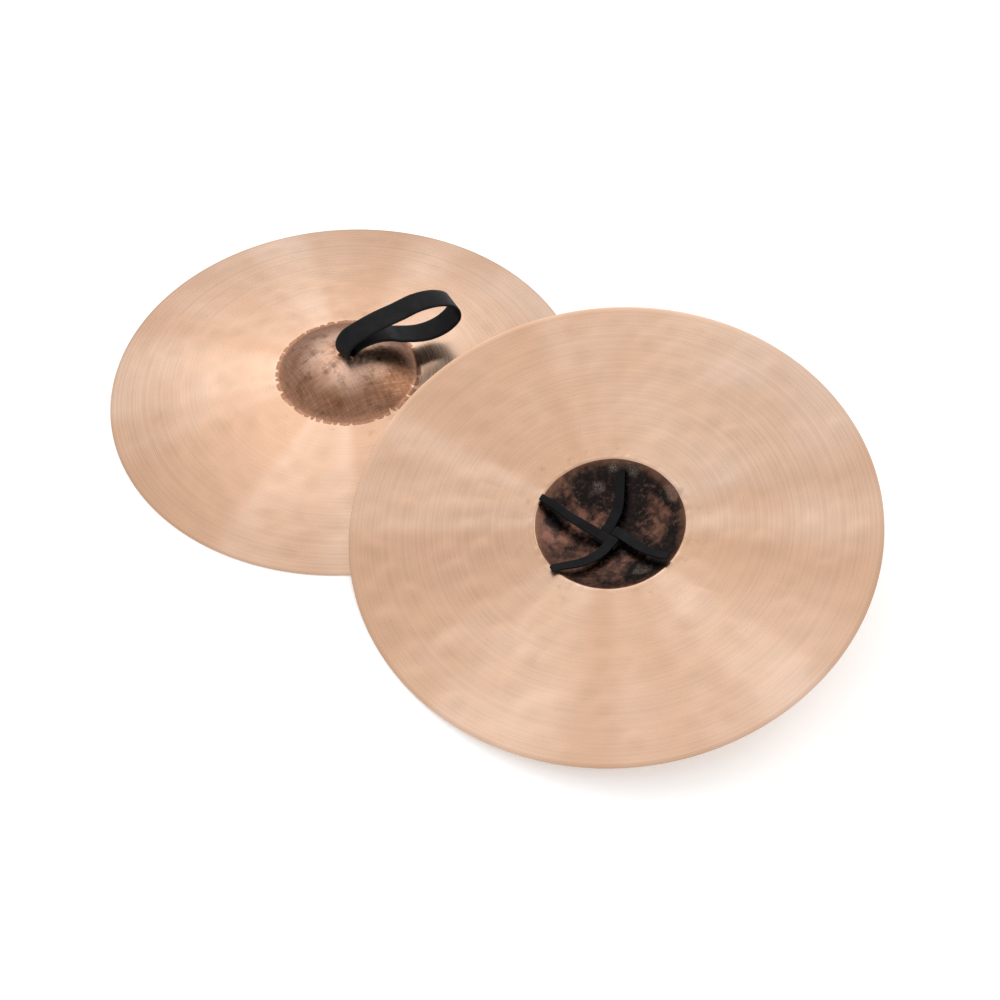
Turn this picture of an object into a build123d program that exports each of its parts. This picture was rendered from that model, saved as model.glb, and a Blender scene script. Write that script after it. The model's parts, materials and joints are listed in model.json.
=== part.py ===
# A pair of 20 inch orchestral hand cymbals with leather hand straps, at rest.
#
# Cymbal A lies flat on its rim, bell up, with its strap's hand loop leaning over.
# Cymbal B lies bell down on its own folded strap. It leans until its rim meets the floor,
# and the near part of its rim passes over cymbal A.
#
# Frame: +Z is up, +X runs from cymbal A to cymbal B, and the origin is on the floor
# below the middle of the pair's box. Each cymbal has a frame of its own: its origin is the
# centre of the rim plane, its Z runs out through the bell, and its X is the way that
# its hand loop falls.
import os
from math import asin, atan, atan2, ceil, cos, degrees, hypot, radians, sin

from build123d import *

# Cymbal, the same for both.
rim_radius = 254.0
plate_height = 46.0
bell_radius = 73.0
bow_height = 19.0
bow_crown = 2.2
rim_thickness = 0.8
bell_thickness = 1.7
rim_land = 2.4
hole_radius = 6.35
bell_root_fillet = 7.0
hole_edge_round = 0.4

# How far the bell's inner foot stands in from its outer foot, as a share of the wall.
bell_foot_share = 0.4

# How the pair lies: plate_gap is the least height of cymbal B over cymbal A.
plate_gap = 0.9
loop_a_azimuth = 67.8
lean_azimuth = 71.3
strap_squeeze = 6.0

# Leather strap: four tails, a crown knot, a neck through the hole, and a hand loop.
strap_width = 27.5
strap_thickness = 2.3
knot_side = 23.0
knot_thickness = 8.0
knot_turn = -20.0
knot_offset = (-3.0, 2.5)
knot_seat_gap = 0.3
knot_corner_round = 4.0
knot_edge_round = 2.0
neck_width = 10.4
tail_root_width = 11.0
tail_tip_width = 7.5
tail_root_inset = 2.0
tail_root_depth = 3.0
tail_crown = 1.5

# Fold where each hand loop turns on its neck: its height above the bell's hole, the radius
# of the neck's rounded end, half the neck's thickness, and half the loop's width there.
fold_a_height = 8.0
fold_a_radius = 3.0
neck_a_half = 2.4
root_a_half = 7.5
fold_b_height = 1.4
fold_b_radius = 1.6
neck_b_half = 1.3
root_b_half = 4.1
fold_gap = 0.3
root_clear = 6.6
root_spread = 28.0

# Where the cup at each hand loop's root starts and ends round the fold: in degrees from
# level for loop A, and from cymbal B's own rim plane for loop B. These angles leave the
# neck clear while each loop swings over to its other side.
cup_a_angles = (-20.0, 75.0)
cup_b_angles = (-80.0, -6.0)

# Hand loops as they hang: the middle of the leather from the fold out and back, with
# height above the fold for loop A and height above the floor for loop B.
loop_a_route = [
    (14.0, 15.8),
    (37.0, 20.8),
    (60.0, 23.8),
    (84.0, 27.6),
    (108.0, 23.0),
    (124.0, 11.0),
    (126.0, -5.0),
    (113.0, -15.2),
    (92.0, -17.2),
    (64.0, -6.0),
    (46.0, 3.4),
    (28.0, 7.2),
]
loop_b_route = [
    (11.0, 6.6),
    (24.0, 10.8),
    (45.0, 19.5),
    (72.0, 26.5),
    (102.0, 28.0),
    (126.0, 22.5),
    (137.0, 12.5),
    (131.0, 4.2),
    (112.0, 2.0),
    (80.0, 1.8),
    (42.0, 1.8),
    (13.0, 1.8),
]

# Where each tail's tip lies in the cymbal's own frame, and its height above the rim plane.
# The tails leave the knot's four sides in this order, a quarter turn apart.
tail_tips = [
    (43.4, -40.5, 18.0),
    (18.8, 67.8, 10.0),
    (-75.9, 10.3, 12.0),
    (-38.4, -62.5, 12.0),
]


def dome_height(radius, base_height, top_height):
    """Height of the round bell above the rim plane at a distance from its axis."""
    rise = top_height - base_height
    dome_radius = (rise**2 + bell_radius**2) / (2 * rise)
    return top_height - dome_radius + (dome_radius**2 - radius**2) ** 0.5


def outer_height(radius):
    """Height of a cymbal's outer side above its rim plane, at a distance from its axis."""
    if radius < bell_radius:
        return dome_height(radius, bow_height, plate_height)
    share = (radius - bell_radius) / (rim_radius - bell_radius)
    chord = bow_height + (rim_thickness - bow_height) * share
    return chord + 4 * bow_crown * share * (1 - share)


def direction(azimuth, elevation=0.0):
    """Unit vector at an azimuth from +X and an elevation above the floor, in degrees."""
    level = cos(radians(elevation))
    return Vector(
        level * cos(radians(azimuth)),
        level * sin(radians(azimuth)),
        sin(radians(elevation)),
    )


def side_plane(frame):
    """The plane through a frame's X and Z, drawn with X to the right and Z up."""
    return Plane(origin=frame.origin, x_dir=frame.x_dir, z_dir=-frame.y_dir)


def placed(frame, x, y, z=0.0, turn=0.0):
    """A frame at x, y, z in another frame, turned about its Z by an angle in degrees."""
    return Plane(frame.location * Location((x, y, z), (0, 0, turn)))


def on_circle(radius, angle):
    """Point on a circle about the origin, at an angle in degrees."""
    return (radius * cos(radians(angle)), radius * sin(radians(angle)))


# Cymbal B leans until its rim meets the floor, with its bell held up by the folded strap.
lean_drop = plate_height - rim_thickness
lean = atan(lean_drop / rim_radius) + asin(strap_squeeze / hypot(rim_radius, lean_drop))
rim_b_height = rim_radius * sin(lean) + rim_thickness * cos(lean)
axis_b = direction(lean_azimuth, degrees(lean) - 90)

# The floor point below cymbal B's rim centre goes as near to cymbal A's axis as the gap allows.
bow_rings = 24
bow_points_per_ring = 180
lean_frame = Plane(x_dir=direction(lean_azimuth, degrees(lean)), z_dir=axis_b, origin=(0, 0, 0))
bow_b_points = []
for ring in range(bow_rings + 1):
    ring_radius = bell_radius + (rim_radius - bell_radius) * ring / bow_rings
    for step in range(bow_points_per_ring):
        x, y = on_circle(ring_radius, 360 * step / bow_points_per_ring)
        bow_b_points.append(
            lean_frame.x_dir * x
            + lean_frame.y_dir * y
            + axis_b * outer_height(ring_radius)
            + Vector(0, 0, rim_b_height)
        )


def least_gap(spacing):
    """Least height of cymbal B's bow over cymbal A, with their axes this far apart."""
    gaps = [rim_radius]
    for point in bow_b_points:
        radius = hypot(point.X + spacing, point.Y)
        if radius < rim_radius:
            gaps.append(point.Z - outer_height(radius))
    return min(gaps)


centre_spacing = ceil(2 * rim_radius)
while least_gap(centre_spacing - 1) > plate_gap:
    centre_spacing -= 1

# The pair's box along X sets where the origin is.
rim_b_reach = rim_radius * (1 - axis_b.X**2) ** 0.5
middle_x = (centre_spacing + rim_b_reach - rim_radius) / 2

cymbal_a_frame = Plane(
    origin=(-middle_x, 0, 0),
    x_dir=direction(loop_a_azimuth),
    z_dir=(0, 0, 1),
)
cymbal_b_frame = Plane(
    origin=(centre_spacing - middle_x, 0, rim_b_height),
    x_dir=direction(lean_azimuth, degrees(lean)),
    z_dir=axis_b,
)

# Heights above the rim plane, from the tails up to the fold of each hand loop.
seat_radius = hypot(*knot_offset) + knot_side / 2**0.5 - knot_corner_round * (2**0.5 - 1)
knot_top = dome_height(seat_radius, bow_height - bell_thickness, plate_height - bell_thickness)
knot_top -= knot_seat_gap
knot_foot = knot_top - knot_thickness
fold_a = plate_height + fold_a_height
fold_b = plate_height + fold_b_height

# Drawing planes of the hand loops, upright, with their origins at the folds.
loop_a_plane = side_plane(placed(cymbal_a_frame, 0, 0, fold_a))
fold_b_point = placed(cymbal_b_frame, 0, 0, fold_b).origin
loop_b_plane = Plane(
    origin=fold_b_point,
    x_dir=direction(lean_azimuth),
    z_dir=direction(lean_azimuth - 90),
)


def make_cymbal(frame):
    """A turned bronze plate: thin rim with a flat foot, shallow bow and domed bell."""
    inner_bell_radius = bell_radius - bell_foot_share * bell_thickness
    inner_bow_height = bow_height - bell_thickness
    inner_top = plate_height - bell_thickness
    bow_middle = (rim_radius + bell_radius) / 2
    half_dome = bell_radius / 2
    hole_top = (hole_radius, dome_height(hole_radius, bow_height, plate_height))
    dome_top = (half_dome, dome_height(half_dome, bow_height, plate_height))
    bell_foot = (bell_radius, bow_height)
    bow_top = (bow_middle, (rim_thickness + bow_height) / 2 + bow_crown)
    rim_top = (rim_radius, rim_thickness)
    rim_foot = (rim_radius, 0)
    land_end = (rim_radius - rim_land, 0)
    bow_under = (bow_middle, inner_bow_height / 2 + bow_crown)
    bell_under = (inner_bell_radius, inner_bow_height)
    dome_under = (half_dome, dome_height(half_dome, inner_bow_height, inner_top))
    hole_under = (hole_radius, dome_height(hole_radius, inner_bow_height, inner_top))
    with BuildPart() as cymbal:
        with BuildSketch(side_plane(frame)) as section:
            with BuildLine():
                ThreePointArc(hole_top, dome_top, bell_foot)
                ThreePointArc(bell_foot, bow_top, rim_top)
                Polyline(rim_top, rim_foot, land_end)
                ThreePointArc(land_end, bow_under, bell_under)
                ThreePointArc(bell_under, dome_under, hole_under)
                Line(hole_under, hole_top)
            make_face()
            bell_roots = section.vertices().sort_by_distance((*bell_foot, 0))[:2]
            fillet(bell_roots, bell_root_fillet)
            hole_corners = section.vertices().sort_by_distance((*hole_top, 0))[:2]
            fillet(hole_corners, hole_edge_round)
        revolve(axis=Axis(frame.origin, frame.z_dir))
    return cymbal.part


def make_knot(frame):
    """The crown knot inside the bell: a rounded square cushion of woven leather."""
    with BuildPart() as knot:
        with BuildSketch(placed(frame, *knot_offset, knot_foot, knot_turn)):
            RectangleRounded(knot_side, knot_side, knot_corner_round)
        extrude(amount=knot_thickness)
        fillet(knot.faces().sort_by(Axis(frame.origin, frame.z_dir))[0].edges(), knot_edge_round)
    return knot.part


def make_neck(frame, fold_height, fold_radius, half_thickness):
    """The strap where it passes through the hole, with a rounded end inside the fold."""
    with BuildPart() as neck:
        with BuildSketch(side_plane(frame)):
            with Locations((0, (knot_top + fold_height) / 2)):
                Rectangle(2 * half_thickness, fold_height - knot_top)
            with Locations((0, fold_height)):
                Circle(fold_radius)
        extrude(amount=neck_width / 2, both=True)
    return neck.part


def tail_root(quarter):
    """Where a tail leaves its side of the knot: each one keeps to one side of the middle."""
    outward = on_circle(knot_side / 2 - tail_root_inset, knot_turn + 90 * quarter)
    sideways = on_circle(knot_side / 4, knot_turn + 90 * (quarter - 1))
    return (
        knot_offset[0] + outward[0] + sideways[0],
        knot_offset[1] + outward[1] + sideways[1],
    )


def make_tail(frame, quarter, knot):
    """A flat tongue of leather that runs from the knot's side to its free tip."""
    root = tail_root(quarter)
    *tip, tip_height = tail_tips[quarter]
    root_height = knot_foot + tail_root_depth
    reach = hypot(tip[0] - root[0], tip[1] - root[1])
    azimuth = degrees(atan2(tip[1] - root[1], tip[0] - root[0]))
    tail_frame = placed(frame, *root, 0, azimuth)
    middle = (reach / 2, (root_height + tip_height) / 2 + tail_crown)
    with BuildPart() as tail:
        with BuildSketch(side_plane(tail_frame)):
            with BuildLine():
                ThreePointArc((0, root_height), middle, (reach, tip_height))
            trace(line_width=strap_thickness)
        extrude(amount=tail_root_width / 2, both=True)
        with BuildSketch(tail_frame):
            with BuildLine():
                Polyline(
                    (-strap_thickness, tail_root_width / 2),
                    (reach + strap_thickness, tail_tip_width / 2),
                    (reach + strap_thickness, -tail_tip_width / 2),
                    (-strap_thickness, -tail_root_width / 2),
                    close=True,
                )
            make_face()
        extrude(amount=plate_height, mode=Mode.INTERSECT)
        add(knot, mode=Mode.SUBTRACT)
    return tail.part


def make_hand_loop(plane, route, fold_radius, root_half, root_angles):
    """A closed band of leather whose two ends meet in a cup around the neck's end."""
    cup_inside = fold_radius + fold_gap
    cup_outside = cup_inside + strap_thickness
    cup_middle = (cup_inside + cup_outside) / 2
    low_angle, high_angle = root_angles
    route_start = on_circle(cup_middle, high_angle)
    route_end = on_circle(cup_middle, low_angle)
    far_end = max(point[0] for point in route) + strap_thickness
    with BuildPart() as hand_loop:
        with BuildSketch(plane):
            with BuildLine() as band:
                Spline(route_start, *route, route_end)
            trace(line_width=strap_thickness)
            with BuildLine():
                Line(on_circle(cup_inside, low_angle), on_circle(cup_outside, low_angle))
                CenterArc((0, 0), cup_outside, low_angle, high_angle - low_angle)
                Line(on_circle(cup_outside, high_angle), on_circle(cup_inside, high_angle))
                CenterArc((0, 0), cup_inside, low_angle, high_angle - low_angle)
            make_face()
            Circle(cup_inside, mode=Mode.SUBTRACT)
        extrude(amount=strap_width / 2, both=True)
        with BuildSketch(Plane(origin=plane.origin, x_dir=plane.x_dir, z_dir=plane.y_dir)):
            with BuildLine():
                Polyline(
                    (-cup_outside, root_half),
                    (root_clear, root_half),
                    (root_spread, strap_width / 2),
                    (far_end, strap_width / 2),
                    (far_end, -strap_width / 2),
                    (root_spread, -strap_width / 2),
                    (root_clear, -root_half),
                    (-cup_outside, -root_half),
                    close=True,
                )
            make_face()
        extrude(amount=2 * plate_height, both=True, mode=Mode.INTERSECT)
    leather_length = sum(edge.length for edge in band.edges())
    print("leather round the loop:", round(leather_length), "mm")
    return hand_loop.part


def write(part, name):
    """Label one finished piece and write it to its own file."""
    part.label = name
    export_step(part, f"parts/{name}.step")


os.makedirs("parts", exist_ok=True)

write(make_cymbal(cymbal_a_frame), "cymbal_a")
write(make_cymbal(cymbal_b_frame), "cymbal_b")

necks = {
    "a": (cymbal_a_frame, fold_a, fold_a_radius, neck_a_half),
    "b": (cymbal_b_frame, fold_b, fold_b_radius, neck_b_half),
}
for strap, (frame, fold_height, fold_radius, half_thickness) in necks.items():
    knot = make_knot(frame)
    write(knot, f"strap_{strap}_knot")
    write(make_neck(frame, fold_height, fold_radius, half_thickness), f"strap_{strap}_neck")
    for quarter in range(len(tail_tips)):
        write(make_tail(frame, quarter, knot), f"strap_{strap}_tail_{quarter + 1}")

cup_b_level = [degrees(lean) + angle for angle in cup_b_angles]
loop_b_heights = [(x, z - fold_b_point.Z) for x, z in loop_b_route]
loop_a = make_hand_loop(loop_a_plane, loop_a_route, fold_a_radius, root_a_half, cup_a_angles)
loop_b = make_hand_loop(loop_b_plane, loop_b_heights, fold_b_radius, root_b_half, cup_b_level)
write(loop_a, "hand_loop_a")
write(loop_b, "hand_loop_b")
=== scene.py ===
import json
import math
import random

import bpy
import numpy as np
from mathutils import Matrix, Vector


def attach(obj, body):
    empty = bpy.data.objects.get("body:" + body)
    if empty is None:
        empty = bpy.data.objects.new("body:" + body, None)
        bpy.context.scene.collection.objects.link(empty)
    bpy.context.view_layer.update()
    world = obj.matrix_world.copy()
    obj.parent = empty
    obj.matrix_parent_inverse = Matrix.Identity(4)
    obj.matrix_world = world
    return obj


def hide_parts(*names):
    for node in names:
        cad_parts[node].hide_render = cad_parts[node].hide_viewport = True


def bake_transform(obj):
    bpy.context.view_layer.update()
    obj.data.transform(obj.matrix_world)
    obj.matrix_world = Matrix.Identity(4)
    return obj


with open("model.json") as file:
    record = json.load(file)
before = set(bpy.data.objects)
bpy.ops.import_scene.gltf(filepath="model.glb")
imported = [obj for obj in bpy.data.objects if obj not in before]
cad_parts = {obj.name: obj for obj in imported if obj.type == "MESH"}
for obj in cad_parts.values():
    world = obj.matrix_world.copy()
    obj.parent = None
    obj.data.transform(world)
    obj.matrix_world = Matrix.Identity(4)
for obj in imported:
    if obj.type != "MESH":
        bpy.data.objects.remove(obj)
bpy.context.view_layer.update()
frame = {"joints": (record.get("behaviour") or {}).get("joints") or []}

MM = 0.001

# Sizes of the turned plates, the same as the CAD's.
RIM_RADIUS = 254.0 * MM
PLATE_HEIGHT = 46.0 * MM
BELL_RADIUS = 73.0 * MM
BOW_HEIGHT = 19.0 * MM
BOW_CROWN = 2.2 * MM
RIM_THICKNESS = 0.8 * MM
BELL_THICKNESS = 1.7 * MM
RIM_LAND = 2.4 * MM
HOLE_RADIUS = 6.35 * MM
BELL_ROOT_BLEND = 1.5 * MM
EDGE_BREAK = 0.3 * MM

# Sizes of the leather, the same as the CAD's.
STRAP_WIDTH = 27.5 * MM
STRAP_THICKNESS = 2.3 * MM
FOLD_HEIGHT = {"a": 8.0 * MM, "b": 1.4 * MM}
KNOT_OFFSET = (-3.0 * MM, 2.5 * MM)
KNOT_SIDE = 23.0 * MM
KNOT_TURN = math.radians(-20.0)


# ---------------------------------------------------------------- frames

def joint(name):
    """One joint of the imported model."""
    return next(j for j in frame["joints"] if j["name"] == name)


def plate_matrix(side):
    """A cymbal's own frame: origin in the rim plane, Z out of the bell, X where its loop falls."""
    out = Vector(joint(f"cymbal_{side}_turn")["axis"]).normalized()
    across = Vector(joint(f"hand_loop_{side}_swing")["axis"]).normalized()
    fall = out.cross(across)
    fold = Vector(joint(f"hand_loop_{side}_swing")["pos_m"])
    centre = fold - out * (PLATE_HEIGHT + FOLD_HEIGHT[side])
    matrix = Matrix((fall, -across, out)).transposed().to_4x4()
    matrix.translation = centre
    return matrix


PLATE = {side: plate_matrix(side) for side in "ab"}


def to_row(side, points):
    """Points from a cymbal's own frame into the row's frame."""
    matrix = np.array(PLATE[side])
    return np.asarray(points) @ matrix[:3, :3].T + matrix[:3, 3]


# ---------------------------------------------------------------- small mesh tools

def new_object(name, points, faces, smooth_angle=None):
    """A mesh object at the origin, with its place in its points and smooth faces."""
    mesh = bpy.data.meshes.new(name)
    mesh.from_pydata([tuple(p) for p in points], [], [tuple(f) for f in faces])
    mesh.validate()
    for polygon in mesh.polygons:
        polygon.use_smooth = True
    if smooth_angle is not None:
        mesh.set_sharp_from_angle(angle=math.radians(smooth_angle))
    thing = bpy.data.objects.new(name, mesh)
    bpy.context.scene.collection.objects.link(thing)
    return thing


def point_attribute(thing, name, kind, values):
    """Stores a number or a vector on each point of a mesh."""
    attribute = thing.data.attributes.new(name, kind, "POINT")
    key = "vector" if kind == "FLOAT_VECTOR" else "value"
    attribute.data.foreach_set(key, np.asarray(values, np.float32).ravel())


def smooth_line(points, count):
    """Evenly spaced samples of a smooth curve through the given points."""
    points = np.asarray(points, float)
    chord = np.linalg.norm(np.diff(points, axis=0), axis=1) ** 0.5
    knots = np.concatenate(([0.0], np.cumsum(chord)))
    slopes = np.gradient(points, knots, axis=0)
    fine = np.linspace(0, knots[-1], count * 8)
    span = np.clip(np.searchsorted(knots, fine, "right") - 1, 0, len(knots) - 2)
    width = (knots[span + 1] - knots[span])[:, None]
    t = (fine[:, None] - knots[span][:, None]) / width
    line = (
        (2 * t**3 - 3 * t**2 + 1) * points[span]
        + (t**3 - 2 * t**2 + t) * width * slopes[span]
        + (3 * t**2 - 2 * t**3) * points[span + 1]
        + (t**3 - t**2) * width * slopes[span + 1]
    )
    along = np.concatenate(([0.0], np.cumsum(np.linalg.norm(np.diff(line, axis=0), axis=1))))
    even = np.linspace(0, along[-1], count)
    return np.stack([np.interp(even, along, line[:, k]) for k in range(3)], axis=1), even


# ---------------------------------------------------------------- nodes

# The nodes that the trees are made of, each with its settings.
PLUS = ("ShaderNodeMath", {"operation": "ADD"})
MINUS = ("ShaderNodeMath", {"operation": "SUBTRACT"})
TIMES = ("ShaderNodeMath", {"operation": "MULTIPLY"})
OVER = ("ShaderNodeMath", {"operation": "DIVIDE"})
SHARE_OF = ("ShaderNodeMath", {"operation": "DIVIDE", "use_clamp": True})
RAMP = ("ShaderNodeMapRange", {"interpolation_type": "SMOOTHSTEP"})
MIX = ("ShaderNodeMix", {"data_type": "RGBA"})
BLEND = ("ShaderNodeMix", {"data_type": "FLOAT"})
JOIN = ("ShaderNodeCombineXYZ", {})
SHIFTED = ("ShaderNodeVectorMath", {"operation": "ADD"})
STRETCHED = ("ShaderNodeVectorMath", {"operation": "MULTIPLY"})
SCALED = ("ShaderNodeVectorMath", {"operation": "SCALE"})
LENGTH = ("ShaderNodeVectorMath", {"operation": "LENGTH"})
DIRECTION = ("ShaderNodeVectorMath", {"operation": "NORMALIZE"})
ALONG = ("ShaderNodeVectorMath", {"operation": "DOT_PRODUCT"})
NOISE = ("ShaderNodeTexNoise", {})
NOISE_ALONG = ("ShaderNodeTexNoise", {"noise_dimensions": "1D"})
ROUND_CELLS = ("ShaderNodeTexVoronoi", {"voronoi_dimensions": "2D", "feature": "F1"})
PORES = ("ShaderNodeTexVoronoi", {"feature": "DISTANCE_TO_EDGE"})
BUMP = ("ShaderNodeBump", {})


def add(tree, kind, *values, output=None, **named):
    """Adds a node of a kind. Its live inputs are given in order or by name, each a value or
    another node's output, and its first live output comes back unless another is asked for."""
    node_type, settings = kind
    node = tree.nodes.new(node_type)
    for key, value in settings.items():
        setattr(node, key, value)
    live = [socket for socket in node.inputs if socket.enabled]
    given = list(zip(live, values)) + [(node.inputs[key], value) for key, value in named.items()]
    for socket, value in given:
        if isinstance(value, bpy.types.NodeSocket):
            tree.links.new(value, socket)
        else:
            socket.default_value = value
    return node.outputs[output] if output else next(s for s in node.outputs if s.enabled)


# ---------------------------------------------------------------- turned plates

SEGMENTS = 360


def dome(radius, foot, top):
    """Height of the round bell above the rim plane."""
    rise = top - foot
    ball = (rise**2 + BELL_RADIUS**2) / (2 * rise)
    return top - ball + np.sqrt(np.maximum(ball**2 - radius**2, 0))


def bow(radius, start_radius, start_height, end_radius, end_height):
    """Height of the bow: a shallow arch from the bell's foot out to the rim."""
    share = (radius - start_radius) / (end_radius - start_radius)
    return start_height + (end_height - start_height) * share + 4 * BOW_CROWN * share * (1 - share)


def joined(bell, arch):
    """The higher of bell and bow, with a soft root between them."""
    gap = np.clip(1 - np.abs(bell - arch) / BELL_ROOT_BLEND, 0, 1)
    return np.maximum(bell, arch) + BELL_ROOT_BLEND / 4 * gap**2


def outer_height(radius):
    """Height of a plate's outer side above its rim plane."""
    arch = bow(radius, BELL_RADIUS, BOW_HEIGHT, RIM_RADIUS, RIM_THICKNESS)
    return joined(dome(radius, BOW_HEIGHT, PLATE_HEIGHT), arch)


def inner_height(radius):
    """Height of a plate's inner side above its rim plane."""
    foot = BOW_HEIGHT - BELL_THICKNESS
    start = BELL_RADIUS - 0.4 * BELL_THICKNESS
    arch = bow(radius, start, foot, RIM_RADIUS - RIM_LAND, 0.0)
    return joined(dome(radius, foot, PLATE_HEIGHT - BELL_THICKNESS), arch)


def hammering():
    """A tree that hammers a turned plate: shallow round dents all over the bow, a row of
    facets round the bell's foot, and the slow waves that the plate springs into."""
    tree = bpy.data.node_groups.new("hammering", "GeometryNodeTree")
    face = tree.interface
    face.new_socket("Plate", in_out="INPUT", socket_type="NodeSocketGeometry")
    sizes = {
        "Bell radius": BELL_RADIUS,
        "Rim radius": RIM_RADIUS,
        "Mark spacing": 27 * MM,
        "Mark depth": 0.28 * MM,
        "Facet spacing": 10 * MM,
        "Facet depth": 0.22 * MM,
        "Wave height": 0.5 * MM,
        "Seed": 1.0,
    }
    for name, value in sizes.items():
        face.new_socket(name, in_out="INPUT", socket_type="NodeSocketFloat").default_value = value
    face.new_socket("Axis", in_out="INPUT", socket_type="NodeSocketVector")
    face.new_socket("Bronze", in_out="INPUT", socket_type="NodeSocketMaterial")
    face.new_socket("Plate", in_out="OUTPUT", socket_type="NodeSocketGeometry")
    given = tree.nodes.new("NodeGroupInput").outputs

    place = add(
        tree, ("GeometryNodeInputNamedAttribute", {"data_type": "FLOAT_VECTOR"}),
        Name="turned", output="Attribute",
    )
    level = add(tree, STRETCHED, place, (1, 1, 0))
    radius = add(tree, LENGTH, level)
    shift = add(tree, JOIN, X=add(tree, TIMES, given["Seed"], 3.7), Z=given["Seed"])
    placed = add(tree, SHIFTED, level, shift)

    def dents(spacing, depth, roundness):
        """Round dents about one spacing apart, each of its own depth."""
        density = add(tree, OVER, 1.0, spacing)
        away = add(tree, ROUND_CELLS, Vector=placed, Scale=density, Randomness=0.85)
        hollow = add(tree, RAMP, away, 0.0, roundness, 1.0, 0.0)
        own = add(tree, ("FunctionNodeSeparateColor", {}), away.node.outputs["Color"])
        own = add(tree, RAMP, own, 0.0, 1.0, 0.35, 1.0)
        return add(tree, TIMES, add(tree, TIMES, hollow, own), depth)

    def band(fade_in, fade_out):
        """A ring round the plate that fades in and out, each fade a distance and its two ends."""
        return add(tree, TIMES, add(tree, RAMP, *fade_in), add(tree, RAMP, *fade_out))

    past_bell = add(tree, MINUS, radius, given["Bell radius"])
    to_rim = add(tree, MINUS, given["Rim radius"], radius)
    on_bow = band((past_bell, 4 * MM, 20 * MM), (to_rim, 2 * MM, 16 * MM))
    near_foot = band((past_bell, -6 * MM, 1 * MM), (past_bell, 9 * MM, 3 * MM))
    marks = add(tree, TIMES, dents(given["Mark spacing"], given["Mark depth"], 0.72), on_bow)
    facets = add(tree, TIMES, dents(given["Facet spacing"], given["Facet depth"], 0.80), near_foot)
    swing = add(tree, MINUS, add(tree, NOISE, placed, 15.0), 0.5)
    waves = add(tree, TIMES, swing, add(tree, TIMES, given["Wave height"], 2.0))
    waves = add(tree, TIMES, waves, on_bow)
    drop = add(tree, PLUS, marks, facets)
    offset = add(tree, SCALED, given["Axis"], add(tree, MINUS, waves, drop))
    moved = add(tree, ("GeometryNodeSetPosition", {}), Geometry=given["Plate"], Offset=offset)
    share = add(tree, SHARE_OF, drop, given["Mark depth"])
    stored = ("GeometryNodeStoreNamedAttribute", {"data_type": "FLOAT", "domain": "POINT"})
    kept = add(tree, stored, Geometry=moved, Name="dent", Value=share)
    real = add(tree, ("GeometryNodeRealizeInstances", {}), Geometry=kept)
    finished = add(tree, ("GeometryNodeSetMaterial", {}), Geometry=real, Material=given["Bronze"])
    output = tree.nodes.new("NodeGroupOutput")
    tree.links.new(finished, output.inputs[0])
    return tree


def grown(thing, tree, **values):
    """Runs a tree on an object and keeps what comes out as its plain mesh."""
    modifier = thing.modifiers.new(tree.name, "NODES")
    modifier.node_group = tree
    names = {s.name: s.identifier for s in tree.interface.items_tree if s.in_out == "INPUT"}
    for key, value in values.items():
        modifier[names[key.replace("_", " ")]] = value
    depsgraph = bpy.context.evaluated_depsgraph_get()
    mesh = bpy.data.meshes.new_from_object(thing.evaluated_get(depsgraph))
    thing.modifiers.clear()
    thing.data = mesh


def bell_notches(seed):
    """Where the lathe skipped at the bell's foot: angle, width and depth of each bite."""
    rng = random.Random(seed)
    notches = []
    angle = 0.0
    while angle < 2 * math.pi - 0.08:
        notches.append((angle, rng.uniform(0.6, 1.8) * MM, rng.uniform(0.4, 2.9) ** 2 * MM))
        angle += rng.uniform(0.05, 0.24)
    return notches


def raw_edge(angle, notches, base, ragged, seed):
    """Radius inside which the bell was left as it was hammered and never turned."""
    rng = random.Random(seed + 2)
    edge = np.full_like(angle, base)
    for wave in (3, 5, 8, 13, 21):
        edge += ragged * rng.uniform(0.3, 1.0) * np.cos(wave * angle + rng.uniform(0, 6.3)) / 3
    for notch_angle, width, depth in notches:
        across = np.angle(np.exp(1j * (angle - notch_angle))) * base / width
        edge -= depth * np.clip(1.3 * np.exp(-(across**2)), 0, 1)
    return edge


def plate_profile():
    """Half the outline of a plate: out over its top, round the rim, back underneath and up
    through the hole. Gives each ring's radius and height, and which rings are inside."""
    foot_start = BELL_RADIUS - 6 * MM
    hole_edge = HOLE_RADIUS + EDGE_BREAK
    outer_radii = np.concatenate(
        (
            np.linspace(hole_edge, foot_start, 26, endpoint=False),
            np.linspace(foot_start, BELL_RADIUS + 7 * MM, 34, endpoint=False),
            np.linspace(BELL_RADIUS + 7 * MM, RIM_RADIUS - EDGE_BREAK, 78),
        )
    )
    inner_radii = np.concatenate(
        (
            np.linspace(RIM_RADIUS - RIM_LAND, BELL_RADIUS + 5 * MM, 62, endpoint=False),
            np.linspace(BELL_RADIUS + 5 * MM, foot_start, 22, endpoint=False),
            np.linspace(foot_start, hole_edge, 22),
        )
    )
    outer, inner = outer_height(outer_radii), inner_height(inner_radii)
    # The rim's edge is rounded over, and the hole's edges are broken.
    rim = [
        (RIM_RADIUS - 0.09 * MM, RIM_THICKNESS - 0.09 * MM),
        (RIM_RADIUS, RIM_THICKNESS - EDGE_BREAK),
        (RIM_RADIUS, 0.2 * MM),
        (RIM_RADIUS - 0.2 * MM, 0.0),
    ]
    hole = [(HOLE_RADIUS, inner[-1] + EDGE_BREAK), (HOLE_RADIUS, outer[0] - EDGE_BREAK)]
    radii = np.concatenate((outer_radii, [r for r, z in rim], inner_radii, [r for r, z in hole]))
    heights = np.concatenate((outer, [z for r, z in rim], inner, [z for r, z in hole]))
    inside = np.zeros(len(radii))
    inside[len(outer_radii) + 2 : len(radii) - 1] = 1
    return radii, heights, inside


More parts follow.
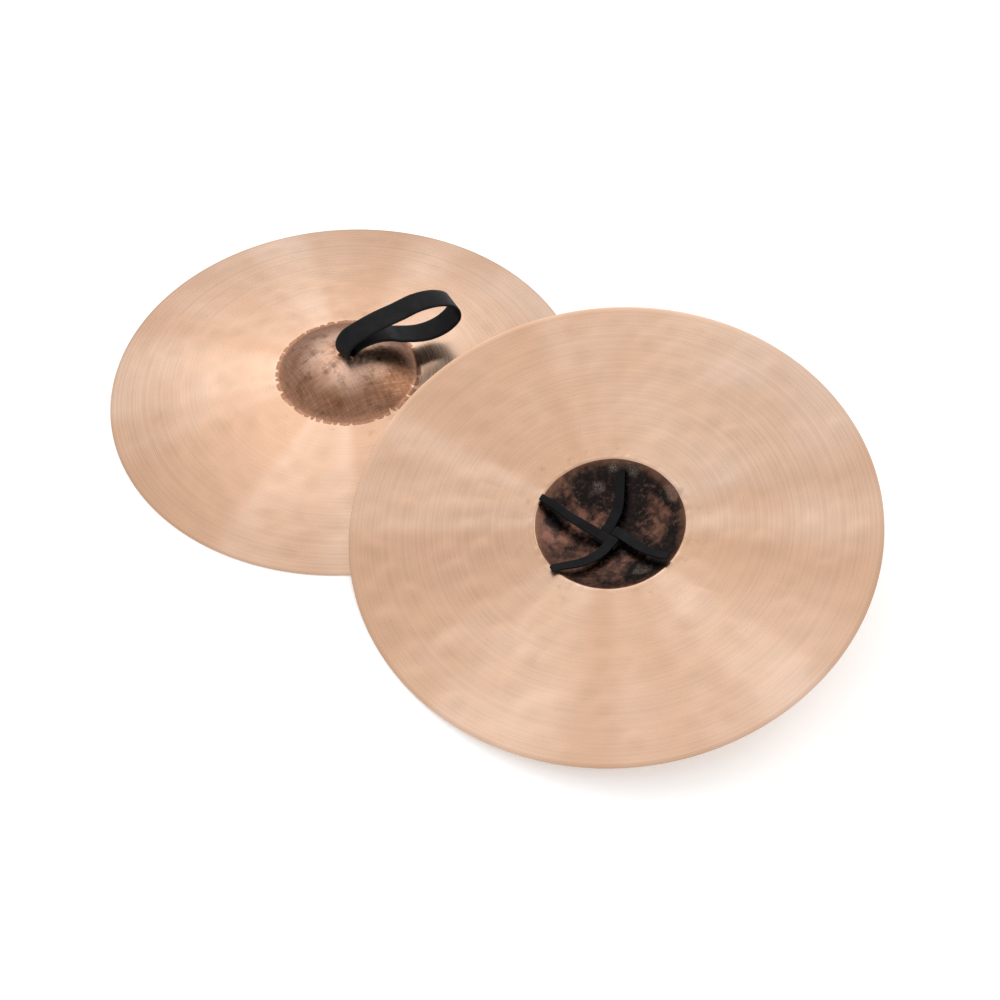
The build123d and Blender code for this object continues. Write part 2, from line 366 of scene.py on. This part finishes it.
def lathe_uv(plate, radii, heights):
    """A UV map for the turning: U along the profile in metres, V once round the plate."""
    lathe = plate.data.uv_layers.new(name="lathe")
    index = np.arange(len(radii) * SEGMENTS)
    ring, turn = index // SEGMENTS, index % SEGMENTS
    along = np.cumsum(np.concatenate(([0.0], np.hypot(np.diff(radii), np.diff(heights)))))
    along = np.append(along, along[-1] + RIM_THICKNESS)
    corner = np.zeros((len(index), 4, 2), np.float32)
    for n, (ring_step, turn_step) in enumerate(((0, 0), (1, 0), (1, 1), (0, 1))):
        corner[:, n] = np.stack((along[ring + ring_step], (turn + turn_step) / SEGMENTS), 1)
    lathe.data.foreach_set("uv", corner.ravel())


def turned_plate(name, side, seed, hammers, bronze):
    """A cymbal's plate: one closed turned shell with hammer marks on both sides."""
    radii, heights, inside = plate_profile()
    rings = len(radii)
    angles = np.arange(SEGMENTS) * 2 * math.pi / SEGMENTS
    x = radii[:, None] * np.cos(angles)
    y = radii[:, None] * np.sin(angles)
    z = np.broadcast_to(heights[:, None], x.shape)
    local = np.stack((x, y, z), axis=-1).reshape(-1, 3)
    faces = []
    for ring in range(rings):
        here, after = ring * SEGMENTS, (ring + 1) % rings * SEGMENTS
        for k in range(SEGMENTS):
            step = (k + 1) % SEGMENTS
            faces.append((here + k, after + k, after + step, here + step))
    plate = new_object(name, to_row(side, local), faces, smooth_angle=35)

    # The outside skin has a ragged edge where the tool skipped, and the inside one is clean.
    all_angles = np.tile(angles, rings)
    edge_outer = raw_edge(all_angles, bell_notches(seed + 7), 78.2 * MM, 0.9 * MM, seed)
    edge_inner = raw_edge(all_angles, [], 73.0 * MM, 0.3 * MM, seed)
    is_inside = np.repeat(inside, SEGMENTS)
    point_attribute(plate, "inner_side", "FLOAT", is_inside)
    point_attribute(plate, "turned", "FLOAT_VECTOR", local)
    point_attribute(plate, "raw_edge", "FLOAT", np.where(is_inside > 0.5, edge_inner, edge_outer))
    lathe_uv(plate, radii, heights)

    plate.data.materials.append(bronze)
    out = tuple(PLATE[side].col[2][:3])
    grown(plate, hammers, Axis=out, Seed=float(seed), Bronze=bronze)
    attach(plate, f"cymbal_{side}")
    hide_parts(f"cymbal_{side}")


# ---------------------------------------------------------------- leather

def leather_band(name, line, across, widths, thickness, cups, material):
    """A flat strip of leather along a line: rounded edges, its width at each place, and a
    hollow across its width where it is folded narrow."""
    line = np.asarray(line)
    count = len(line)
    forward = np.gradient(line, axis=0)
    forward /= np.linalg.norm(forward, axis=1)[:, None]
    across = np.broadcast_to(np.asarray(across, float), line.shape).copy()
    across -= (across * forward).sum(1)[:, None] * forward
    across /= np.linalg.norm(across, axis=1)[:, None]
    up = np.cross(forward, across)
    flat = np.linspace(-1, 1, 11)
    edge = [(0.985, 0.30), (1.0, 0.0), (0.985, -0.30)]
    section = [(a * 0.955, 0.5) for a in flat] + edge
    section += [(-a * 0.955, -0.5) for a in flat] + [(-a, -b) for a, b in edge]
    # Run the other way round, so that the faces point outwards.
    section.reverse()
    points, tags = [], []
    travelled = np.concatenate(([0.0], np.cumsum(np.linalg.norm(np.diff(line, axis=0), axis=1))))
    for i in range(count):
        for a, b in section:
            hollow = cups[i] * (1 - a * a)
            points.append(
                line[i] + across[i] * a * widths[i] / 2 + up[i] * (b * thickness + hollow)
            )
            tags.append((travelled[i], a * widths[i] / 2, b))
    size = len(section)
    faces = []
    for i in range(count - 1):
        for k in range(size):
            after = (k + 1) % size
            faces.append((i * size + k, i * size + after, (i + 1) * size + after, (i + 1) * size + k))
    middle = len(points)
    points += [line[0] + up[0] * cups[0] * 0.6, line[-1] + up[-1] * cups[-1] * 0.6]
    tags += [(0.0, 0.0, 0.0), (travelled[-1], 0.0, 0.0)]
    last = (count - 1) * size
    for k in range(size):
        after = (k + 1) % size
        faces.append((middle, after, k))
        faces.append((middle + 1, last + k, last + after))
    band = new_object(name, points, faces, smooth_angle=50)
    point_attribute(band, "strap", "FLOAT_VECTOR", tags)
    band.data.materials.append(material)
    return band


def loop_plane(side):
    """The upright plane of a hand loop: its fold, the way the loop falls, up and across."""
    fold = Vector(joint(f"hand_loop_{side}_swing")["pos_m"])
    across = Vector(joint(f"hand_loop_{side}_swing")["axis"]).normalized()
    fall = Vector((PLATE[side].col[0][0], PLATE[side].col[0][1], 0)).normalized()
    return np.array(fold), np.array(fall), np.array((0.0, 0.0, 1.0)), np.array(across)


# The middle of each loop's leather, out from the bell's hole and back, in millimetres:
# along the way it falls, and up from its fold.
LOOP_ROUTE = {
    "a": [
        (-2.6, -10.5), (-3.4, -7.4), (-5.2, -3.0), (-5.6, 2.0), (-3.0, 7.8), (3.6, 12.6),
        (13.0, 16.2), (37.0, 22.0), (60.0, 24.8), (84.0, 28.0), (109.0, 23.4),
        (125.8, 11.4), (128.4, -5.4), (115.0, -16.4), (92.0, -18.8), (62.0, -8.2),
        (44.0, 1.6), (27.0, 5.6), (14.0, 4.2), (6.4, 0.2), (3.4, -5.0), (2.6, -10.5),
    ],
    "b": [
        (-0.1, 7.0), (0.9, 3.2), (4.2, 1.1), (11.0, 2.0), (24.0, 6.2),
        (45.0, 14.9), (72.0, 21.9), (102.0, 23.4), (126.0, 17.9), (137.0, 7.9),
        (131.0, -0.4), (112.0, -2.7), (80.0, -2.9), (42.0, -2.9), (13.0, -2.9),
        (4.0, -2.7), (-0.8, -0.6), (-2.3, 3.0), (-3.0, 7.0),
    ],
}


# How each loop is gathered where it enters the hole, in millimetres: distance from its end,
# its width there, and how deep it is hollowed.
GATHER = {
    "a": (
        (0, 2.4, 3.6, 8, 16, 28),
        (12.2, 12.4, 18.5, 22.0, 25.5, STRAP_WIDTH / MM),
        (0, -0.3, -0.8, -0.8, -0.3, 0),
    ),
    "b": ((0, 6, 14, 34), (9.5, 9.5, 13.0, STRAP_WIDTH / MM), (0, 0, 0, 0)),
}


# How far each loop is twisted at its hole, in degrees, and how far the leg that comes up first
# leans to one side at 0, 4, 11 and 28 mm from its end, in millimetres.
TWIST = {"a": 24, "b": 0}
LEAN = {"a": (0, 3.0, 3.4, 0), "b": (0, 0, 0, 0)}


def hand_loop(side, material):
    """A hand loop: a wide strip whose ends narrow, fold and twist as they enter the hole."""
    fold, fall, up, across = loop_plane(side)
    route = [fold + fall * s * MM + up * h * MM for s, h in LOOP_ROUTE[side]]
    line, along = smooth_line(route, 300)
    from_end = np.minimum(along, along[-1] - along)
    distances, full_widths, hollows = GATHER[side]
    widths = np.interp(from_end, np.array(distances) * MM, np.array(full_widths) * MM)
    cups = np.interp(from_end, np.array(distances) * MM, np.array(hollows) * MM)
    softener = np.hanning(5)
    softener /= softener.sum()
    widths = np.convolve(np.pad(widths, 2, "edge"), softener, "valid")
    cups = np.convolve(np.pad(cups, 2, "edge"), softener, "valid")
    turn = math.radians(TWIST[side]) * np.clip(1 - from_end / (30 * MM), 0, 1) ** 1.5
    aside = np.interp(along, np.array((0, 4, 11, 28)) * MM, np.array(LEAN[side]) * MM)
    line = line + across * aside[:, None]
    across = across * np.cos(turn)[:, None] + fall * np.sin(turn)[:, None]
    band = leather_band(
        f"hand_loop_{side}_leather", line, across, widths, STRAP_THICKNESS, cups, material
    )
    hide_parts(f"hand_loop_{side}")
    start, end = {
        "a": ((-2, -4), (10, 8)),
        "b": ((-2, 2), (10, -1)),
    }[side]
    start = fold + fall * start[0] * MM + up * start[1] * MM
    end = fold + fall * end[0] * MM + up * end[1] * MM
    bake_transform(band)


# Each tail beyond the knot, in the cymbal's own frame in millimetres, to its free tip.
TAIL_ROUTES = [
    [(18.7, -13.9, 31.5), (27.6, -22.5, 27.5), (35.7, -31.5, 23.0), (43.4, -40.5, 18.0)],
    [(8.0, 26.4, 30.5), (9.7, 38.8, 25.5), (12.5, 51.2, 19.5), (15.8, 61.0, 14.0), (18.8, 67.8, 10.0)],
    [(-21.0, 14.3, 33.6), (-30.0, 15.7, 31.0), (-39.8, 16.6, 27.0), (-51.0, 15.8, 22.0),
     (-62.4, 13.2, 17.0), (-75.9, 10.3, 12.0)],
    [(-18.5, -18.8, 30.0), (-25.1, -32.2, 25.0), (-31.0, -47.1, 19.0), (-38.4, -62.5, 12.0)],
]

# One tongue of the crown knot: distance along its own way out, and height, from its start
# at the neck, out round the knot's edge, back under its neighbour and over the face.
TONGUE_ROUTE = [
    (-1.0, 41.0), (-7.5, 41.0), (-11.3, 39.2), (-8.0, 37.4), (-2.5, 36.9), (2.5, 35.2), (8.5, 34.9),
]


def knot_tongue(side, quarter, material):
    """One tongue of the strap: woven through the crown knot and out to its free tip."""
    way = KNOT_TURN + quarter * math.pi / 2
    outward = np.array((math.cos(way), math.sin(way), 0))
    sideways = np.array((math.sin(way), -math.cos(way), 0))
    middle = np.array((*KNOT_OFFSET, 0)) + sideways * KNOT_SIDE / 4
    route = [middle + outward * a * MM + np.array((0, 0, h * MM)) for a, h in TONGUE_ROUTE]
    route += [np.array(p) * MM for p in TAIL_ROUTES[quarter]]
    line, along = smooth_line(route, 110)
    across = np.cross((0, 0, 1.0), np.gradient(line, axis=0))
    knot_part = along < 30 * MM
    across[knot_part] = -sideways
    blend_share = np.clip((along - 26 * MM) / (14 * MM), 0, 1)[:, None]
    across /= np.linalg.norm(across, axis=1)[:, None]
    across = across * blend_share + (-sideways) * (1 - blend_share)
    tip_share = np.clip((along - 34 * MM) / (along[-1] - 34 * MM), 0, 1)
    widths = (10.8 - 3.6 * tip_share) * MM
    last = np.clip((along[-1] - along) / (1.2 * MM), 0, 1)
    widths = widths * (0.72 + 0.28 * np.sqrt(1 - (1 - last) ** 2))
    cups = -MM * np.interp(along, np.array((0, 12, 16, 27, 34)) * MM, (0, 0, 0.5, 0.5, 0.2))
    row = to_row(side, line)
    across_row = across @ np.array(PLATE[side])[:3, :3].T
    tongue = leather_band(
        f"strap_{side}_tongue_{quarter + 1}", row, across_row, widths, 2.1 * MM, cups, material
    )
    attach(tongue, f"strap_{side}")
    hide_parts(f"strap_{side}_tail_{quarter + 1}")


def strap_core(side, material):
    """The folded leather in the hole, and the layers it spreads into inside the knot."""
    fold = (PLATE_HEIGHT + FOLD_HEIGHT[side]) / MM
    # Height, half width and half thickness at each ring, in millimetres.
    rings = [
        (37.2, 5.5, 5.5), (37.6, 8.2, 8.2), (39.6, 9.0, 9.0), (41.6, 8.4, 8.4), (42.1, 6.6, 6.6),
        (42.6, 5.4, 3.6), (44.0, 5.2, 3.0), (fold - 1.5, 5.0, 2.0), (fold - 0.4, 4.2, 1.2),
    ]
    count = 40
    points = []
    for height, wide, thick in rings:
        shift = np.clip((42.6 - height) / 1.5, 0, 1)
        for k in range(count):
            angle = 2 * math.pi * k / count
            c, s = math.cos(angle), math.sin(angle)
            c = math.copysign(abs(c) ** 0.6, c)
            s = math.copysign(abs(s) ** 0.6, s)
            points.append(
                (
                    thick * MM * c + KNOT_OFFSET[0] * shift,
                    wide * MM * s + KNOT_OFFSET[1] * shift,
                    height * MM,
                )
            )
    faces = []
    for ring in range(len(rings) - 1):
        for k in range(count):
            after = (k + 1) % count
            faces.append(
                (ring * count + k, ring * count + after, (ring + 1) * count + after, (ring + 1) * count + k)
            )
    faces.append(tuple(reversed(range(count))))
    faces.append(tuple(range((len(rings) - 1) * count, len(rings) * count)))
    core = new_object(f"strap_{side}_core", to_row(side, points), faces, smooth_angle=50)
    point_attribute(core, "strap", "FLOAT_VECTOR", points)
    core.data.materials.append(material)
    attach(core, f"strap_{side}")
    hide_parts(f"strap_{side}_knot", f"strap_{side}_neck")


# ---------------------------------------------------------------- materials

def linear(hex_colour):
    """An sRGB hex colour as the linear colour a shader works in."""
    channels = [int(hex_colour[i : i + 2], 16) / 255 for i in (1, 3, 5)]
    return tuple(c / 12.92 if c <= 0.04045 else ((c + 0.055) / 1.055) ** 2.4 for c in channels) + (1,)


def empty_material(name):
    """A material with only its output and a principled shader."""
    material = bpy.data.materials.new(name)
    material.use_nodes = True
    tree = material.node_tree
    tree.nodes.clear()
    shader = tree.nodes.new("ShaderNodeBsdfPrincipled")
    output = tree.nodes.new("ShaderNodeOutputMaterial")
    tree.links.new(shader.outputs["BSDF"], output.inputs["Surface"])
    return material, tree, shader


def bronze(name):
    """Cast bell bronze, hammered and then turned on a lathe with a hand tool. The bow shows
    fine rings and soft fans of light, partly painted into its colour as reflections, and the bell
    keeps the raw skin from the furnace: worn pinkish brown outside, and mottled with charcoal grey inside."""
    material, tree, shader = empty_material(name)

    def stored(attribute, output="Fac"):
        """What the mesh holds at each point under a name."""
        return add(tree, ("ShaderNodeAttribute", {"attribute_name": attribute}), output=output)

    def stained(under, colour, value, low, high, least=0.0, most=1.0):
        """A stain over a colour, that comes in as a value goes from one figure to another."""
        share = add(tree, RAMP, value, low, high, least, most)
        return add(tree, MIX, share, under, linear(colour))

    place = stored("turned", "Vector")
    inside = stored("inner_side")
    level = add(tree, STRETCHED, place, (1, 1, 0))
    radius = add(tree, LENGTH, level)

    # Lathe rings are about 0.3 mm apart, too fine to show, so they are drawn 1.4 and 4 mm apart.
    fine_rings = add(tree, NOISE_ALONG, radius, 700.0, 2.0, 0.6)
    wide_rings = add(tree, NOISE_ALONG, radius, 240.0, 2.0, 0.5)
    rings = add(tree, BLEND, 0.4, fine_rings, wide_rings)
    # Painted reflections: fans that follow the turning, half a dozen soft rays, each some 30 degrees wide,
    # painted light and dark as the lathe grooves would reflect the studio lights.
    painted_reflection_fans = add(tree, NOISE, add(tree, DIRECTION, level), 1.5, 2.0, 0.45)
    # Tarnish drifts over 110 mm, and fingers leave smudges 20 mm across near the bell.
    tarnish = add(tree, NOISE, place, 9.0, 3.0, 0.5)
    smudges = add(tree, NOISE, place, 46.0, 3.0, 0.6)
    turned = stained(linear("#E2C3AE"), "#DBB79D", tarnish, 0.35, 0.68)
    # The painted reflection fans: darker rays between the brighter ones.
    turned = stained(turned, "#C89F82", painted_reflection_fans, 0.62, 0.38, 0.0, 0.8)
    turned = stained(turned, "#A98468", rings, 0.62, 0.40, 0.0, 0.13)
    # Hammer marks are a little darker at their deepest: painted shade for the shading the dents would show.
    turned = stained(turned, "#A3846C", stored("dent"), 0.35, 1.0, 0.0, 0.09)
    handled = add(tree, RAMP, radius, 0.120, 0.076, 0.0, 0.35)
    smudged = add(tree, TIMES, add(tree, RAMP, smudges, 0.58, 0.74), handled)
    turned = add(tree, MIX, smudged, turned, linear("#8D7358"))

    # The furnace skin: blotches 10 to 40 mm across, and 3 mm flecks where it has flaked.
    patches = add(tree, NOISE, place, 24.0, 5.0, 0.58)
    blotch = add(tree, NOISE, place, 70.0, 3.0, 0.6)
    speckle = add(tree, NOISE, place, 240.0, 4.0, 0.7)
    fine_flecks = add(tree, NOISE, place, 1100.0, 3.0, 0.6)
    hue = add(tree, NOISE, place, 26.0, 2.0, 0.5)
    # Scratches from wiping and filing run both ways, drawn about 1 mm apart.
    scratches_along = add(tree, NOISE, add(tree, STRETCHED, place, (1.0, 0.05, 0.05)), 900.0, 2.0, 0.6)
    scratches_across = add(tree, NOISE, add(tree, STRETCHED, place, (0.05, 1.0, 0.05)), 900.0, 2.0, 0.6)
    scratches = add(tree, PLUS, scratches_along, scratches_across)
    # One side is painted darker, with more charcoal on it: painted shade, standing in for the light that
    # falls more on the other side.
    painted_side_shade = add(tree, TIMES, add(tree, ALONG, place, (0.90, -0.43, 0.0)), 1.3)
    charred_and_side_shade = add(tree, PLUS, patches, painted_side_shade)
    skin_in = stained(linear("#7A5446"), "#6B4B42", hue, 0.40, 0.60)
    skin_in = stained(skin_in, "#382C28", blotch, 0.40, 0.60, 0.0, 0.85)
    # Charcoal patches of the furnace skin, with more of them on one side as painted shade.
    skin_in = stained(skin_in, "#1E1B1B", charred_and_side_shade, 0.41, 0.53, 0.0, 0.95)
    flaked = add(tree, RAMP, patches, 0.60, 0.44, 0.10, 0.45)
    flecks = add(tree, TIMES, add(tree, RAMP, speckle, 0.50, 0.66), flaked)
    skin_in = add(tree, MIX, flecks, skin_in, linear("#7D6353"))
    rubbed = add(tree, RAMP, fine_flecks, 0.40, 0.66, 0.0, 0.55)
    bare = add(tree, TIMES, add(tree, RAMP, hue, 0.63, 0.72), rubbed)
    skin_in = add(tree, MIX, bare, skin_in, linear("#A8968A"))
    ragged_radius = add(tree, PLUS, radius, add(tree, TIMES, blotch, 0.02))
    skin_in = stained(skin_in, "#8D6450", ragged_radius, 0.074, 0.084, 0.0, 0.5)

    # Outside, the crown is rubbed pale and the skirt stays brown down to its bright foot.
    skin_out = stained(linear("#DDB6A0"), "#C2967B", patches, 0.38, 0.62)
    skin_out = stained(skin_out, "#80543A", radius, 0.024, 0.058, 0.0, 0.84)
    skin_out = stained(skin_out, "#62432F", blotch, 0.48, 0.70, 0.0, 0.62)
    skin_out = stained(skin_out, "#B5856A", radius, 0.0675, 0.0725, 0.0, 0.55)
    skin_out = stained(skin_out, "#4F3A2B", speckle, 0.58, 0.74, 0.0, 0.25)
    skin_out = stained(skin_out, "#5A4232", scratches, 1.00, 1.22, 0.0, 0.24)
    skin_out = stained(skin_out, "#D2AE98", scratches, 1.00, 0.80, 0.0, 0.18)
    skin = add(tree, MIX, inside, skin_out, skin_in)

    # The skin ends where the lathe tool began, on a line that wanders a little.
    wander = add(tree, TIMES, add(tree, MINUS, blotch, 0.5), add(tree, BLEND, inside, 3 * MM, 0.6 * MM))
    within = add(tree, MINUS, add(tree, PLUS, stored("raw_edge"), wander), radius)
    raw = add(tree, RAMP, within, -0.3 * MM, 0.3 * MM)
    cut_finish = add(tree, RAMP, rings, 0.35, 0.65, 0.26, 0.33)
    raw_finish = add(tree, RAMP, speckle, 0.3, 0.7, 0.26, 0.42)
    turned_height = add(tree, TIMES, rings, add(tree, MINUS, 1.0, raw))
    skin_height = add(tree, TIMES, add(tree, PLUS, speckle, scratches), add(tree, TIMES, raw, 0.8))
    height = add(tree, PLUS, turned_height, skin_height)
    finish = {
        "Base Color": add(tree, MIX, raw, turned, skin),
        "Roughness": add(tree, BLEND, raw, cut_finish, raw_finish),
        "Normal": add(tree, BUMP, Strength=0.3, Distance=0.12 * MM, Height=height),
        # The grooves run round the plate, so light spreads outwards, across them.
        "Tangent": add(tree, ("ShaderNodeTangent", {"direction_type": "UV_MAP", "uv_map": "lathe"})),
    }
    for socket, source in finish.items():
        tree.links.new(source, shader.inputs[socket])
    shader.inputs["Metallic"].default_value = 1.0
    shader.inputs["Anisotropic"].default_value = 0.65
    return material


def black_leather(name):
    """Smooth black strap leather, dyed through and waxed: a soft sheen and a faint grain."""
    material, tree, shader = empty_material(name)
    place = add(tree, ("ShaderNodeTexCoord", {}), output="Object")
    # Grain pores are about 0.3 mm across, and are drawn 0.8 mm across so that they show.
    grain = add(tree, PORES, Vector=place, Scale=1250.0)
    # It wrinkles about 6 mm apart, and its wax is uneven over 17 mm.
    wrinkle = add(tree, NOISE, place, 160.0, 4.0, 0.6)
    wax = add(tree, RAMP, add(tree, NOISE, place, 60.0, 3.0, 0.5), 0.35, 0.7)
    height = add(tree, PLUS, add(tree, TIMES, grain, 0.5), add(tree, TIMES, wrinkle, 0.7))
    finish = {
        "Base Color": add(tree, MIX, wax, linear("#0E0D0F"), linear("#151417")),
        "Roughness": add(tree, RAMP, wrinkle, 0.3, 0.7, 0.42, 0.54),
        "Normal": add(tree, BUMP, Strength=0.25, Distance=0.2 * MM, Height=height),
    }
    for socket, source in finish.items():
        tree.links.new(source, shader.inputs[socket])
    shader.inputs["Specular IOR Level"].default_value = 0.12
    return material


def pale_floor():
    """A light table: matt white acrylic, lit a little from below."""
    material, tree, shader = empty_material("lit_white_acrylic")
    shader.inputs["Base Color"].default_value = linear("#F6F6F5")
    shader.inputs["Roughness"].default_value = 0.9
    shader.inputs["Emission Color"].default_value = (1, 1, 1, 1)
    shader.inputs["Emission Strength"].default_value = 0.25
    return material


# ---------------------------------------------------------------- studio

def build_floor():
    """A plain pale floor, far larger than the pair."""
    half = 6.0
    floor = new_object(
        "studio_floor",
        [(-half, -half, -0.0004), (half, -half, -0.0004), (half, half, -0.0004), (-half, half, -0.0004)],
        [(0, 1, 2, 3)],
    )
    floor.data.materials.append(pale_floor())


def area_light(name, place, aim, size, power):
    """A soft rectangular studio light aimed at a point."""
    data = bpy.data.lights.new(name, "AREA")
    data.shape = "RECTANGLE"
    data.size, data.size_y = size
    data.energy = power
    light = bpy.data.objects.new(name, data)
    light.location = place
    light.rotation_euler = (Vector(aim) - Vector(place)).to_track_quat("-Z", "Y").to_euler()
    bpy.context.scene.collection.objects.link(light)


def build_lights():
    """White surroundings, with two large soft lights behind, on the left and on the right."""
    world = bpy.data.worlds.new("white_studio")
    world.use_nodes = True
    background = world.node_tree.nodes["Background"]
    background.inputs["Color"].default_value = (1, 1, 1, 1)
    background.inputs["Strength"].default_value = 0.92
    bpy.context.scene.world = world
    middle = (0.0, 0.0, 0.03)
    area_light("left", (-1.25, 0.92, 1.70), middle, (1.2, 1.2), 4.3)
    area_light("back_right", (0.65, 1.65, 1.55), middle, (1.2, 1.2), 6.2)


def build_camera():
    """Looks down at the pair from the front right at about 52 degrees."""
    data = bpy.data.cameras.new("camera")
    data.sensor_width = 36.0
    data.lens = 45.29
    camera = bpy.data.objects.new("camera", data)
    right = Vector((0.7830, 0.6213, 0.0279)).normalized()
    back = -Vector((-0.3657, 0.4963, -0.7873)).normalized()
    up = back.cross(right)
    camera.matrix_world = Matrix((right, up, back)).transposed().to_4x4()
    camera.location = (0.5224, -0.6542, 1.0026)
    bpy.context.scene.collection.objects.link(camera)
    bpy.context.scene.camera = camera
    bpy.context.scene.view_settings.view_transform = "Standard"


build_camera()
build_floor()
build_lights()
bell_bronze = bronze("hammered_and_turned_bell_bronze")
leather = black_leather("waxed_black_strap_leather")
hammers = hammering()
turned_plate("cymbal_a_plate", "a", 11, hammers, bell_bronze)
turned_plate("cymbal_b_plate", "b", 29, hammers, bell_bronze)
for side in "ab":
    strap_core(side, leather)
    hand_loop(side, leather)
    for quarter in range(4):
        knot_tongue(side, quarter, leather)
